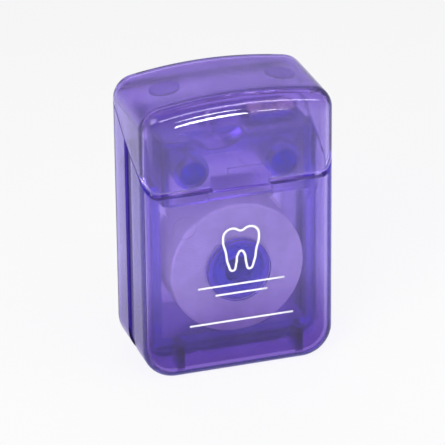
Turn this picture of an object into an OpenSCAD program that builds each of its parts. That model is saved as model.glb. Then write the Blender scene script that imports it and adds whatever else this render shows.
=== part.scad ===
// Pocket dental floss dispenser: two translucent shells snapped over an inner frame, a flip cap
// on a living hinge, a steel cutter on the deck and a bobbin of floss that turns on a post.
// X is to the right, the front faces -Y, and the origin is at the middle of the underside.

/* [Body] */
// Overall width
body_w = 33; // [31:0.5:36]
// Overall depth, front face to rear face
body_d = 18.7; // [18:0.1:20]
// Overall height at the middle of the crowned top
body_h = 49.9; // [48.5:0.1:52]
// How much the crowned top falls from its middle to its ends
crown_drop = 1.8; // [1.5:0.1:2.2]
// Radius of the two bottom corners, seen from the front
bottom_r = 5.4; // [5:0.1:6]
// Radius of the two top corners, seen from the front
top_r = 3.9; // [3.6:0.1:4.2]
// Radius along the front and rear edges
edge_r = 2.5; // [2.2:0.1:2.8]
// Wall thickness of the front and rear shells
shell_wall = 1.2; // [1:0.1:1.3]
// Wall thickness of the cap
cap_wall = 1; // [0.9:0.1:1.1]

/* [Seam and cap line] */
// Depth at which the front shell ends, on the side
front_rim_y = -2.3; // [-3:0.1:-1.8]
// Depth at which the rear shell begins, on the side
rear_rim_y = 1.2; // [0.8:0.1:1.8]
// How far the frame's band lies below the outer surface
band_recess = 0.35; // [0.25:0.05:0.5]
// Height of the cap's lower edge on the front face
cap_edge_z = 34.2; // [33.8:0.1:34.6]
// Open gap under the cap on the front face
front_gap = 0.95; // [0.8:0.05:1.1]
// Open gap under the cap on the sides and the rear
side_gap = 0.4; // [0.3:0.05:0.5]
// Half width of the thumb tab
tab_half_w = 4.9; // [4:0.1:6]

/* [Frame] */
// Half width of the neck inside the cap
neck_half_w = 12.85; // [12.4:0.05:13]
// Height of the deck on top of the neck
deck_z = 42.5; // [42:0.1:43]
// Half width of the bobbin chamber
chamber_half_w = 12.6; // [12.3:0.1:12.8]
// Thickness of the frame's walls
frame_wall = 1.3; // [1.1:0.1:1.4]
// Floor of the bobbin chamber
chamber_floor_z = 6.1; // [5.9:0.1:6.2]
// Distance of each locating peg from the middle
peg_x = 7.8; // [7.4:0.1:8.2]
// Height of the locating pegs
peg_z = 36.6; // [36.2:0.1:37]
// Radius of the locating pegs
peg_r = 2.05; // [1.9:0.05:2.2]

/* [Floss and cutter] */
// Height of the bobbin's axis
bobbin_z = 18.1; // [17.9:0.1:18.3]
// Outer radius of the wound floss
winding_r = 11.55; // [10:0.05:11.7]
// Radius of the bobbin's core
core_r = 5.45; // [5.2:0.05:5.7]
// Width of the wound floss
winding_w = 10.9; // [10:0.1:11]
// Radius of the post that the bobbin turns on
post_r = 4.25; // [4:0.05:4.3]
// Running clearance all round the post
post_clearance = 0.07; // [0.04:0.01:0.1]
// Thickness of the floss strand
floss_d = 0.4; // [0.3:0.05:0.45]
// Sideways place of the cutter
cutter_x = 7.6; // [7.4:0.1:7.8]
// Depth at which the middle of the cutter lies
cutter_y = -0.8; // [-1:0.1:-0.6]
// Width of the steel cutter
cutter_w = 7.6; // [7:0.1:8]
// Depth of the steel cutter
cutter_d = 4; // [3.6:0.1:4.4]
// Thickness of the cutter's sheet
cutter_t = 0.4; // [0.3:0.05:0.45]

/* [Hidden] */
$fn = 72;

fit = 0.1;
front_y = -body_d / 2;
half_w = body_w / 2;
inner_y = body_d / 2 - shell_wall;

// the crowned top is an arc, tangent to the top corners
crown_r = (crown_drop * crown_drop + half_w * half_w) / (2 * crown_drop);
crown_z = body_h - crown_r;
crown_angle = asin((half_w - top_r) / (crown_r - top_r));
corner_z = crown_z + (crown_r - top_r) * cos(crown_angle);

// the side view of the cap's lower edge, from the hinge down to the front face
hinge_y = body_d / 2 - 0.15;
hinge_z = 45.7;
hinge_r = 0.15;
hinge_half_w = 11.5;
cap_line = [
  [body_d / 2 + 1, hinge_z + side_gap / 2], [9.1, hinge_z + side_gap / 2], [1.24, 40.52], [-2.04, 38.7],
  [-6.6, 36.95], [-7.4, 36.5], [-8.25, 35.6], [-8.8, 34.9], [front_y, cap_edge_z], [front_y - 1, cap_edge_z]
];
shell_line = [for (p = cap_line) [p[0], p[1] - line_gap(p[0])]];
function line_gap(y) = side_gap + (front_gap - side_gap) * max(0, min(1, (-6.6 - y) / (-6.6 - front_y)));

deck_t = 1.2;
neck_bottom_z = 31.3;
neck_front_y = -inner_y + fit;
neck_r = 1.2;
side_wall_x = chamber_half_w + 1.45;
side_wall_y = [-5, inner_y - 0.15];
side_wall_top_z = 34;
floor_t = 1.4;
floor_z = chamber_floor_z - floor_t;
notch_x = -3.3;
notch_w = 9.6;
notch_depth = 2.1;
notch_back_y = -4.2;
spout_x = -3;
spout_y = -1;
spout_r = 1.9;
spout_bore_r = 0.8;
spout_h = 0.6;
pedestal_h = 1;
cutter_block_z = 38.7;
slot_t = cutter_t + 0.1;
slot_d = 3.2;
bead = [5.8, 0.25, 1.1];
bead_x = 1;
bead_z = 36.3;

rib_x = 10.35;
rib_t = 1.3;
rib_top_z = 6.3;
witness_marks = [[-9.4, 27.3, 2], [9.6, 29.4, 2], [-5.7, 5.7, 1.7], [5.7, 5.7, 1.7]];
witness_depth = 0.1;
cap_mark_r = 2.55;
cap_mark_x = 10;
scoop_r = 6;
scoop_depth = 0.4;

winding_front_y = -7;
winding_back_y = winding_front_y + winding_w;
core_y = [winding_front_y - 0.3, winding_back_y + 0.25];
end_float = 0.15;
post_front_y = -6.6;
post_bore_r = 2.45;
pilot_r = 2.4;

// the strand leaves the winding at this height and runs to the cutter by way of the spout
strand_route = [
  [9.7, -1, 25], [5.88, -1, 30], [2.06, -1, 35], [-1.76, -1, 40], [-2.6, -1, 41.1], [-2.95, -1, 42],
  [-3, -1, 43.2], [-2.7, -1, 43.8], [-1.9, -1, 44], [3, -1.05, 44.12], [6, -1.1, 44.12], [8.4, -1.15, 44.12],
  [9.4, -0.9, 44.3], [10.2, -0.5, 44.7]
];
strand_sides = 8;

// Section through the edge of a rounded box, with x measured inwards from the outline.
module box_section(inset, reach) {
  r = edge_r - inset;
  half_d = body_d / 2 - inset;
  translate([edge_r, -half_d]) square([reach - edge_r, 2 * half_d]);
  translate([inset, -half_d + r]) square([edge_r - inset, 2 * (half_d - r)]);
  for (side = [-1, 1])
    translate([edge_r, side * (half_d - r)]) intersection() {
      circle(r);
      translate([-r, side > 0 ? 0 : -r]) square(r);
    }
}

module wall_section(wall, reach) {
  difference() {
    box_section(0, reach);
    box_section(wall, reach + 1);
  }
}

// The part of a wall's section between two depths.
module wall_between(wall, reach, y0, y1) {
  intersection() {
    wall_section(wall, reach);
    translate([-1, y0]) square([reach + 2, y1 - y0]);
  }
}

// Carries a section round the bottom edge and up both sides.
module round_the_bottom(top) {
  rotate([0, -90, 0]) linear_extrude(body_w - 2 * bottom_r, center = true) children();
  for (side = [0, 1]) mirror([side, 0, 0]) {
    translate([half_w - bottom_r, 0, bottom_r]) rotate([-90, 0, 0]) rotate_extrude(angle = 90)
      translate([bottom_r, 0]) mirror([1, 0]) children();
    translate([-half_w, 0, bottom_r]) linear_extrude(top - bottom_r) children();
  }
}

function arc(centre, r, a0, a1, steps) =
  [for (k = [0:steps]) let (a = a0 + (a1 - a0) * k / steps) centre + r * [cos(a), sin(a)]];

// The crowned outline of the cap, drawn inset from the outer surface.
function crowned_outline(inset) = concat(
  [[half_w - inset, 30]],
  arc([half_w - top_r, corner_z], top_r - inset, 0, 90 - crown_angle, 10),
  arc([0, crown_z], crown_r - inset, 90 - crown_angle, 90 + crown_angle, 16),
  arc([-half_w + top_r, corner_z], top_r - inset, 90 + crown_angle, 180, 10),
  [[-half_w + inset, 30]]
);

// Skin between rings of points, closed at both ends.
module ringed_solid(rings) {
  n = len(rings[0]);
  last = (len(rings) - 1) * n;
  points = [for (ring = rings) each ring];
  walls = [for (i = [0:len(rings) - 2], k = [0:n - 1])
    let (a = i * n + k, b = i * n + (k + 1) % n) each [[a, b, b + n], [a, b + n, a + n]]];
  ends = [[for (k = [n - 1:-1:0]) k], [for (k = [0:n - 1]) last + k]];
  polyhedron(points, concat(walls, ends), convexity = 4);
}

// A crowned block with round front and rear edges, drawn inset from the outer surface.
module crowned_block(inset) {
  r = edge_r - inset;
  ringed_solid([for (side = [-1, 1], k = [0:6])
    let (a = side < 0 ? 15 * k - 90 : 15 * k, y = side * (body_d / 2 - edge_r) + r * sin(a))
      [for (p = crowned_outline(inset + r * (1 - cos(a)))) [p[0], y, p[1]]]]);
}

// Everything above or below a line that is drawn in the side view.
module side_of(line, limit_z) {
  rotate([90, 0, 90]) linear_extrude(body_w + 4, center = true)
    polygon(concat(line, [[front_y - 1, limit_z], [body_d / 2 + 1, limit_z]]));
}

module y_cylinder(r, y0, y1) {
  translate([0, y0, 0]) rotate([-90, 0, 0]) cylinder(r = r, h = y1 - y0);
}

module centred_block(size) {
  translate([-size[0] / 2, -size[1] / 2, 0]) cube(size);
}

// Groove along the rear face that leaves the living hinge as a thin web.
module hinge_groove() {
  translate([0, body_d / 2, hinge_z]) rotate([90, 0, 90])
    linear_extrude(2 * hinge_half_w + 1, center = true)
      polygon([[0.5, -1.2], [-0.45, -side_gap / 2], [-0.45, side_gap / 2], [0.5, 1.2]]);
}

module front_shell() {
  color("slateblue", 0.7) difference() {
    union() {
      round_the_bottom(40) wall_between(shell_wall, bottom_r, front_y - 1, front_rim_y);
      translate([-half_w + bottom_r, front_y, bottom_r])
        cube([body_w - 2 * bottom_r, shell_wall, 40 - bottom_r]);
      for (side = [-1, 1]) translate([side * rib_x - rib_t / 2, -inner_y - 0.1, shell_wall - 0.1])
        cube([rib_t, side_wall_y[0] - 0.2 + inner_y + 0.1, rib_top_z - shell_wall + 0.1]);
      translate([0, 0, bobbin_z]) {
        y_cylinder(core_r, -inner_y - 0.1, core_y[0] - end_float);
        y_cylinder(pilot_r, -inner_y - 0.1, post_front_y + 1.4);
      }
    }
    side_of(shell_line, 60);
    translate([0, front_y + scoop_depth - scoop_r, shell_line[8][1]]) rotate([0, 90, 0])
      cylinder(r = scoop_r, h = 2 * tab_half_w + 1, center = true);
    for (mark = witness_marks) translate([mark[0], 0, mark[1]])
      y_cylinder(mark[2], -inner_y - witness_depth, -inner_y + 0.1);
  }
}

module rear_shell() {
  color("slateblue", 0.7) difference() {
    union() {
      round_the_bottom(48) wall_between(shell_wall, bottom_r, rear_rim_y, body_d);
      translate([-half_w + bottom_r, inner_y, bottom_r])
        cube([body_w - 2 * bottom_r, shell_wall, 48 - bottom_r]);
      translate([0, 0, bobbin_z]) {
        y_cylinder(core_r, core_y[1] + end_float, inner_y + 0.1);
        y_cylinder(post_r, post_front_y, inner_y + 0.1);
      }
      for (side = [-1, 1]) translate([side * peg_x, 0, peg_z])
        y_cylinder(peg_r, neck_front_y + 0.15, inner_y + 0.1);
    }
    side_of(shell_line, 60);
    hinge_groove();
    translate([0, 0, bobbin_z]) y_cylinder(post_bore_r, post_front_y - 1, inner_y - 2);
  }
}

module neck_plan(inset) {
  half_x = neck_half_w - inset;
  half_y = -neck_front_y - inset;
  r = neck_r;
  square([2 * half_x, 2 * (half_y - r)], center = true);
  for (side = [-1, 1]) translate([-half_x + r, side > 0 ? half_y - r : -half_y])
    square([2 * (half_x - r), r]);
  for (sx = [-1, 1], sy = [-1, 1]) translate([sx * (half_x - r), sy * (half_y - r)]) intersection() {
    circle(r);
    translate([sx > 0 ? 0 : -r, sy > 0 ? 0 : -r]) square(r);
  }
}

module neck() {
  difference() {
    translate([0, 0, neck_bottom_z]) linear_extrude(deck_z - neck_bottom_z) neck_plan(0);
    translate([-neck_half_w + frame_wall, neck_front_y + frame_wall, neck_bottom_z - 1])
      cube([2 * (neck_half_w - frame_wall), -2 * (neck_front_y + frame_wall),
        deck_z - deck_t - neck_bottom_z + 1]);
  }
}

module inner_frame() {
  chord = notch_w / 2;
  notch_r = (chord * chord + notch_depth * notch_depth) / (2 * notch_depth);
  color("darkslateblue") difference() {
    union() {
      difference() {
        round_the_bottom(44) translate([band_recess, front_rim_y + fit])
          square([half_w - side_wall_x - band_recess, rear_rim_y - front_rim_y - 2 * fit]);
        side_of(shell_line, 60);
      }
      for (side = [0, 1]) mirror([side, 0, 0]) translate([chamber_half_w, side_wall_y[0], floor_z])
        cube([side_wall_x - chamber_half_w, side_wall_y[1] - side_wall_y[0], side_wall_top_z - floor_z]);
      translate([-chamber_half_w - 0.1, side_wall_y[0], floor_z])
        cube([2 * chamber_half_w + 0.2, side_wall_y[1] - side_wall_y[0], floor_t]);
      neck();
      for (side = [-1, 1]) translate([side * peg_x, 0, peg_z])
        y_cylinder(3, neck_front_y + 0.1, -neck_front_y - 0.1);
      // well under the notch, and the block that the cutter's legs go into
      translate([notch_x - notch_w / 2 - 0.6, neck_front_y + 0.5, deck_z - notch_depth - 1])
        cube([notch_w + 1.2, notch_back_y - neck_front_y + 0.5, notch_depth + 0.5]);
      translate([cutter_x, cutter_y, cutter_block_z])
        centred_block([cutter_w + 1, cutter_d + 1.2, deck_z - cutter_block_z + pedestal_h]);
      translate([spout_x, spout_y, deck_z - 0.1]) cylinder(r = spout_r, h = spout_h + 0.1);
      translate([bead_x - bead[0] / 2, neck_front_y - bead[1], bead_z - bead[2] / 2])
        cube([bead[0], bead[1] + 0.1, bead[2]]);
    }
    translate([notch_x, 0, deck_z - notch_depth + notch_r])
      y_cylinder(notch_r, neck_front_y - 1, notch_back_y);
    translate([spout_x, spout_y, deck_z - 3]) cylinder(r = spout_bore_r, h = 6);
    for (side = [-1, 1]) {
      translate([side * peg_x, 0, peg_z]) y_cylinder(peg_r + 0.05, neck_front_y - 1, 10);
      translate([cutter_x + side * (cutter_w - cutter_t) / 2, cutter_y, deck_z - 2])
        centred_block([slot_t, slot_d, 6]);
    }
  }
}

module hinge_web() {
  color("slateblue", 0.7) translate([0, hinge_y, hinge_z]) {
    rotate([0, 90, 0]) cylinder(r = hinge_r, h = 2 * hinge_half_w, center = true);
    translate([-hinge_half_w, -hinge_r - 0.2, -side_gap / 2])
      cube([2 * hinge_half_w, hinge_r + 0.2, side_gap / 2 - 0.05]);
  }
}

module thumb_tab() {
  rotate([90, 0, 90]) linear_extrude(2 * tab_half_w, center = true)
    polygon([[front_y + 0.3, 36.6], [front_y - 0.45, 34.9], [front_y - 0.5, 33.8], [front_y - 0.2, 33.4],
      [front_y + 0.05, 33.5], [front_y + 0.55, 34.3], [front_y + 0.7, 34.6], [front_y + 0.7, 36.6]]);
}

module flip_cap() {
  color("slateblue", 0.7) {
    difference() {
      crowned_block(0);
      crowned_block(cap_wall);
      side_of(cap_line, 20);
      hinge_groove();
      for (side = [-1, 1]) translate([0, -0.2, crown_z]) rotate([0, side * asin(cap_mark_x / crown_r), 0])
        translate([0, 0, crown_r - 3]) cylinder(r = cap_mark_r, h = 3 - cap_wall + witness_depth);
    }
    thumb_tab();
  }
}

module cutter() {
  leg_h = 2.4;
  color("silver") translate([cutter_x, cutter_y, deck_z + pedestal_h]) difference() {
    union() {
      centred_block([cutter_w, cutter_d, cutter_t]);
      for (side = [-1, 1]) translate([side * (cutter_w - cutter_t) / 2, 0, -leg_h])
        centred_block([cutter_t, slot_d - 0.2, leg_h + 0.1]);
      // tooth, punched up out of the sheet and leaning forwards
      rotate([90, 0, 90]) linear_extrude(2.2, center = true)
        polygon([[1.6, 0], [1.2, cutter_t], [-0.7, cutter_t + 1], [-0.7, cutter_t + 0.72],
          [0.75, cutter_t - 0.05], [0.9, 0]]);
    }
    translate([0, -0.15, -cutter_t]) centred_block([2.4, 1.5, 2 * cutter_t]);
    // the tooth's notch
    translate([0, -1, cutter_t]) linear_extrude(3) polygon([[-0.8, 0], [0.8, 0], [0, 1.1]]);
  }
}

module spool_core() {
  color("lavender") translate([0, 0, bobbin_z]) difference() {
    y_cylinder(core_r, core_y[0], core_y[1]);
    y_cylinder(post_r + post_clearance, core_y[0] - 1, core_y[1] + 1);
  }
}

module floss_winding() {
  color("white") translate([0, 0, bobbin_z]) difference() {
    y_cylinder(winding_r, winding_front_y, winding_back_y);
    y_cylinder(core_r, winding_front_y - 1, winding_back_y + 1);
  }
}

function unit(v) = v / norm(v);
function along(route, i) = unit(route[min(i + 1, len(route) - 1)] - route[max(i - 1, 0)]);
function ring(centre, t, r) =
  let (u = unit(cross(t, [0, 1, 0])), v = cross(t, u))
    [for (k = [0:strand_sides - 1]) let (a = -360 * k / strand_sides) centre + r * (cos(a) * u + sin(a) * v)];

// A round strand swept along its route.
module strand(route, d) {
  ringed_solid([for (i = [0:len(route) - 1]) ring(route[i], along(route, i), d / 2)]);
}

module floss_strand() {
  color("white") strand(strand_route, floss_d);
}

front_shell();
rear_shell();
inner_frame();
hinge_web();
flip_cap();
cutter();
spool_core();
floss_winding();
floss_strand();
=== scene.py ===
"""Pocket dental floss dispenser: clear violet shells round an inner frame, a flip cap and a floss bobbin."""

import math

import bmesh
import bpy
from mathutils import Matrix, Vector


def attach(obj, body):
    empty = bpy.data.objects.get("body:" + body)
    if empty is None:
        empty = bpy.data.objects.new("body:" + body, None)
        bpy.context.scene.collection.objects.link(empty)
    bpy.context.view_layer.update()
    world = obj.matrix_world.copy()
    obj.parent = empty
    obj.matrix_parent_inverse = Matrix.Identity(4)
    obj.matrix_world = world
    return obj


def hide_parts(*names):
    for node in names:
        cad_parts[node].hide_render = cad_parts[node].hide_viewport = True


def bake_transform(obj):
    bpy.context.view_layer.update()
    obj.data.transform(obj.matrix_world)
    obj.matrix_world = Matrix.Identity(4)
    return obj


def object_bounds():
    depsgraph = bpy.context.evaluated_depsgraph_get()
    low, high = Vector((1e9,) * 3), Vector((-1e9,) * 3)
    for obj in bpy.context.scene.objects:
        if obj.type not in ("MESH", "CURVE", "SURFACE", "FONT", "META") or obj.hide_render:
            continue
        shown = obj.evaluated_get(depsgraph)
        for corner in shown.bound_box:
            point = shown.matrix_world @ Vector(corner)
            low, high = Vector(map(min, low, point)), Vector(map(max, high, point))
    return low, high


bl_info = {
    "name": "Floss Dispenser",
    "version": (1, 0, 0),
    "blender": (4, 5, 0),
    "location": "3D View > Sidebar > Dispenser",
    "description": "Builds the pieces and finishes of a pocket floss dispenser round its CAD frame",
    "category": "Add Mesh",
}

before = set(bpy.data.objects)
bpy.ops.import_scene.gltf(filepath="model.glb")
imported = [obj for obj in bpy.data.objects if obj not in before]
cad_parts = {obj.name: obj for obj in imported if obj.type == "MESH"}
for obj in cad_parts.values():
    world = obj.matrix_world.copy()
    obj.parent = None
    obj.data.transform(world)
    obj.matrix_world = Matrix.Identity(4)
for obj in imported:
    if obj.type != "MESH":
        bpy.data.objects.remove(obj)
cad_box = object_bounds()

TINY = 1e-6
MM = 0.001
FINE_EDGE = 0.00006

# side view of the cap's lower edge, as depth and height in millimetres, from the front face to the hinge
CAP_LINE = [(-9.35, 34.2), (-8.8, 34.9), (-8.25, 35.6), (-7.4, 36.5), (-6.6, 36.95)]
CAP_LINE += [(-2.04, 38.7), (1.24, 40.52), (9.1, 45.9), (9.35, 45.9)]

# route of the free floss in millimetres, from the winding, out of the spout and across the cutter
STRAND_ROUTE = [(9.7, -1, 25), (5.88, -1, 30), (2.06, -1, 35), (-1.76, -1, 40), (-2.6, -1, 41.1)]
STRAND_ROUTE += [(-2.95, -1, 42), (-3, -1, 43.2), (-2.7, -1, 43.8), (-1.9, -1, 44), (3, -1.05, 44.12)]
STRAND_ROUTE += [(6, -1.1, 44.12), (8.4, -1.15, 44.12), (9.4, -0.9, 44.3), (10.2, -0.5, 44.7)]

# round ejector marks inside the front shell in millimetres, as place across, height and radius
EJECTOR_MARKS = [(-9.4, 27.3, 2), (9.6, 29.4, 2), (-5.7, 5.7, 1.7), (5.7, 5.7, 1.7)]

# mould lines on the cap's front in millimetres, as start and end across, drop below the crown and width
MOULD_LINES = [(-11.6, 1.4, 3.4, 0.36), (-11.2, 0.4, 2.55, 0.14), (1.8, 9.0, 3.2, 0.1)]

# right half of the printed tooth in millimetres about its middle, and the rules as height and length
TOOTH_HALF = [(0, 3.2), (1.3, 3.75), (2.75, 3.2), (3.1, 1.6), (2.65, -0.4)]
TOOTH_HALF += [(2.25, -2.6), (1.45, -3.9), (0.85, -2.6), (0.6, -1.1), (0, -0.45)]
TOOTH_HEIGHT = 22.6
RULES = [(16.2, 15.0), (14.6, 9.0), (9.6, 18.0)]

# camera fitted to the outline in the photograph: place in metres, direction away from the object, and roll
CAMERA_PLACE = (-0.16118, -0.50177, 0.26826)
CAMERA_BACK = Vector((-0.27748, -0.86382, 0.42051)).normalized()
CAMERA_ROLL = -0.623

# what carries the bobbin and the frame inside the shells, in metres, with every end given as a depth
BOSS_END = -0.00745
BOSS_BORE = 0.0024
BOSS_BORE_DEPTH = 0.00225
COLLAR_END = 0.0043
POST_END = -0.0066
POST_BORE = 0.00245
POST_BORE_FLOOR = 0.00615
CORE_ENDS = (-0.0073, 0.00415)
WINDING_ENDS = (-0.007, 0.0039)
PEG_X = 0.0078
PEG_Z = 0.0366
PEG_END = -0.0079
RIB_X = 0.01035
RIB_Z = 0.00395
RIB_SIZE = (0.0013, 0.0047)
RIB_END = -0.0052

# thumb tab: share of its rise at each height, down to the cap's edge, and how far it hangs below, in metres
TAB_RISE = {0.0366: 0.0, 0.0358: 0.44, 0.0349: 0.9, 0.0342: 1.0}
TAB_HANG = 0.0006
TAB_CHAMFER = 0.0002

# how waxed floss reflects light
WAXED = {"IOR": 1.5, "Sheen Weight": 0.35, "Sheen Roughness": 0.4}

# spots of painted shade where much plastic is seen through: centre, reach, and the share of the surface's own
# tint left there
RIB_SHADE_SPOT = ((RIB_X, 0.0067, 0.0039), (0.0009, 0.002, 0.0029), 0.0)
PEG_SHADE_SPOT = ((PEG_X, 0.0078, PEG_Z), (0.0024, 0.0013, 0.0024), 0.2)
LIP_SHADE_SPOT = ((0, 0.0095, 0.0336), (0.0053, 0.0009, 0.0004), 0.1)


def length(name, description, default):
    return bpy.props.FloatProperty(
        name=name, description=description, default=default, min=0.0, unit="LENGTH", precision=5
    )


def colour(name, description, default):
    return bpy.props.FloatVectorProperty(
        name=name, description=description, default=default, size=3, subtype="COLOR", min=0.0, max=1.0
    )


def amount(name, description, default):
    return bpy.props.FloatProperty(
        name=name, description=description, default=default, min=0.0, max=1.0, subtype="FACTOR"
    )


class DispenserSizes(bpy.types.PropertyGroup):
    half_width: length("Half width", "Half of the overall width", 0.0165)
    half_depth: length("Half depth", "Half of the overall depth", 0.00935)
    height: length("Height", "Height at the middle of the crowned top", 0.0499)
    crown_drop: length("Crown drop", "How far the top falls from its middle to its ends", 0.0018)
    bottom_radius: length("Bottom corner", "Radius of the bottom corners, seen from the front", 0.0054)
    top_radius: length("Top corner", "Radius of the top corners, seen from the front", 0.0039)
    edge_radius: length("Long edge", "Radius along the front and rear edges", 0.0025)
    shell_wall: length("Shell wall", "Wall thickness of the two shells", 0.0012)
    cap_wall: length("Cap wall", "Wall thickness of the cap", 0.001)
    front_rim: length("Front seam", "How far in front of the middle the front shell ends", 0.0023)
    rear_rim: length("Rear seam", "How far behind the middle the rear shell begins", 0.0012)
    front_gap: length("Front gap", "Gap under the cap on the front face", 0.00095)
    side_gap: length("Side gap", "Gap under the cap on the sides", 0.0004)
    tab_half_width: length("Tab half width", "Half width of the thumb tab", 0.0049)
    tab_rise: length("Tab rise", "How far the thumb tab stands out", 0.0005)
    bobbin_height: length("Bobbin height", "Height of the bobbin's axis", 0.0181)
    winding_radius: length("Winding radius", "Outer radius of the wound floss", 0.01155)
    core_radius: length("Core radius", "Outer radius of the bobbin's core", 0.00545)
    post_radius: length("Post radius", "Radius of the post that carries the bobbin", 0.00425)
    peg_radius: length("Peg radius", "Radius of the two locating pegs", 0.00205)
    floss_thickness: length("Floss thickness", "Thickness of the floss strand", 0.0004)
    soft_edge: length("Soft edge", "Radius of the small moulded edges", 0.00013)


class DispenserFinishes(bpy.types.PropertyGroup):
    shell_tint: colour("Shell tint", "Tint of the clear plastic at its surface", (0.79, 0.71, 0.95))
    absorbed: colour("Shell depth", "Colour left after light crosses thick plastic", (0.25, 0.10, 0.87))
    frame_tint: colour("Frame tint", "Tint of the frame's plastic at its surface", (0.87, 0.80, 0.96))
    # painted shade: the colour that stands in for light lost where the plastic is thick or seen edge on
    deep_shade_tint: colour("Deep tint", "Tint where the plastic is thick or seen edge on", (0.39, 0.235, 0.63))
    # painted shade: the colour that stands in for the shadow in the frame's band between the shells
    recess_shade: colour("Recess", "Colour of the frame's band between the shells", (0.035, 0.016, 0.24))
    core_tint: colour("Core tint", "Tint of the bobbin's core", (0.13, 0.09, 0.36))
    steel: colour("Steel", "Colour of the cutter's steel", (0.78, 0.71, 0.58))
    floss: colour("Floss", "Colour of the waxed floss", (0.70, 0.71, 0.61))
    ink: colour("Ink", "Colour of the print on the front", (0.90, 0.89, 0.95))
    floor: colour("Floor", "Colour of the floor", (0.93, 0.93, 0.93))
    clearness: amount("Clearness", "Share of the light that goes through the plastic", 0.965)
    depth: bpy.props.FloatProperty(
        name="Depth", description="How fast the plastic darkens with thickness", default=300.0, min=0.0
    )


def settings(context):
    return context.scene.dispenser_sizes, context.scene.dispenser_finishes


def crown_arc(sizes):
    """Radius of the crowned top's arc and the height of its centre."""
    radius = (sizes.crown_drop**2 + sizes.half_width**2) / (2 * sizes.crown_drop)
    return radius, sizes.height - radius


def cap_line():
    """The cap's lower edge as depth and height in metres, with its corners eased."""
    line = [Vector((y, z)) * MM for y, z in CAP_LINE]
    for _ in range(2):
        eased = [line[0]]
        for a, b in zip(line[1:-1], line[2:-1]):
            eased += [a.lerp(b, 0.25), a.lerp(b, 0.75)]
        line = eased + line[-2:]
    return line


def shell_line(sizes):
    """The shells' upper edge, lower than the cap's by a gap that opens at the front."""
    opens_at = 0.0066
    line = []
    for y, z in cap_line():
        opening = min(max((-opens_at - y) / (sizes.half_depth - opens_at), 0.0), 1.0)
        line.append(Vector((y, z - sizes.side_gap - (sizes.front_gap - sizes.side_gap) * opening)))
    return line


def height_at(line, y):
    """Height of a side-view line at one depth."""
    for a, b in zip(line, line[1:]):
        if y <= b.x:
            return a.y + (b.y - a.y) * (max(y, a.x) - a.x) / (b.x - a.x)
    return line[-1].y


def edges_of(found):
    return [g for g in found if isinstance(g, bmesh.types.BMEdge)]


def verts_of(found):
    return [g for g in found if isinstance(g, bmesh.types.BMVert)]


def drag(bm, edges, move):
    """Extrudes a row of edges along a straight line and returns the new row."""
    made = bmesh.ops.extrude_edge_only(bm, edges=edges)["geom"]
    new = set(verts_of(made))
    bmesh.ops.translate(bm, verts=list(new), vec=move)
    return [e for e in edges_of(made) if e.verts[0] in new and e.verts[1] in new]


def swing(bm, edges, centre, degrees, steps):
    """Spins a row of edges about an axis along the depth and returns the last row."""
    row = list(edges) + list({v for e in edges for v in e.verts})
    made = bmesh.ops.spin(
        bm, geom=row, cent=centre, axis=(0, 1, 0), angle=math.radians(degrees), steps=steps, use_merge=False
    )
    return edges_of(made["geom_last"])


def side_section(bm, sizes, x_side, z, y_front, y_rear):
    """A row of edges across one side, carried round the long edge where it reaches the front or rear face."""
    x = x_side * sizes.half_width
    r = sizes.edge_radius
    reach = {}
    for side, y in ((-1, y_front), (1, y_rear)):
        rounded = abs(abs(y) - sizes.half_depth) < TINY
        start = bm.verts.new((x, y - side * r if rounded else y, z))
        reach[side] = start
        if rounded:
            hub = (x - x_side * r, y - side * r, z)
            turn = x_side * side * math.pi / 2
            bmesh.ops.spin(bm, geom=[start], cent=hub, axis=(0, 0, 1), angle=turn, steps=9, use_merge=False)
    bm.edges.new((reach[-1], reach[1]))
    return bm.edges[:]


def close_flat(bm, y):
    """Fills the flat face whose rim lies at one depth and is open at one end."""
    rim = [e for e in bm.edges if all(abs(v.co.y - y) < TINY for v in e.verts)]
    chosen = set(rim)
    ends = [v for v in {v for e in rim for v in e.verts} if sum(e in chosen for e in v.link_edges) == 1]
    rim.append(bm.edges.new(ends))
    bmesh.ops.edgeloop_fill(bm, edges=rim)


def faces_at(bm, y):
    """The flat faces that lie at one depth."""
    return [f for f in bm.faces if all(abs(v.co.y - y) < TINY for v in f.verts)]


def slice_flat(bm, y, across, heights):
    """Cuts the flat face at one depth along upright lines and then along level ones."""
    for x in across:
        slice_at(bm, (x, 0, 0), (1, 0, 0), faces_at(bm, y))
    for z in heights:
        slice_at(bm, (0, 0, z), (0, 0, 1), faces_at(bm, y))


def slice_at(bm, point, normal, faces=None):
    """Cuts faces, or the whole mesh, along a plane and keeps both sides."""
    faces = bm.faces[:] if faces is None else faces
    normal = Vector(normal).normalized()
    geom = list(faces)
    geom += list({e for f in faces for e in f.edges})
    geom += list({v for f in faces for v in f.verts})
    bmesh.ops.bisect_plane(bm, geom=geom, dist=TINY, plane_co=point, plane_no=normal)


def trim(bm, line, keep_above):
    """Cuts the skin along a line that is drawn in the side view and removes one side of it."""
    for p in line[1:-1]:
        slice_at(bm, (0, p.x, 0), (0, 1, 0))
    for a, b in zip(line, line[1:]):
        low = a.x - TINY
        slab = [f for f in bm.faces if low <= f.calc_center_median().y <= b.x + TINY]
        if slab:
            slice_at(bm, (0, a.x, a.y), (0, a.y - b.y, b.x - a.x), slab)
    gone = []
    for f in bm.faces:
        c = f.calc_center_median()
        if (c.z > height_at(line, c.y)) != keep_above:
            gone.append(f)
    bmesh.ops.delete(bm, geom=gone, context="FACES")


def give_wall(bm, wall):
    """Turns an open skin into a closed wall whose outer surface stays where it is."""
    bmesh.ops.remove_doubles(bm, verts=bm.verts[:], dist=TINY)
    bmesh.ops.recalc_face_normals(bm, faces=bm.faces[:])
    middle = Vector((0, 0, cad_box[1][2] / 2))
    outward = sum((f.calc_center_median() - middle).dot(f.normal) * f.calc_area() for f in bm.faces)
    if outward < 0:
        bmesh.ops.reverse_faces(bm, faces=bm.faces[:])
    bmesh.ops.solidify(bm, geom=bm.faces[:], thickness=wall)


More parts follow.
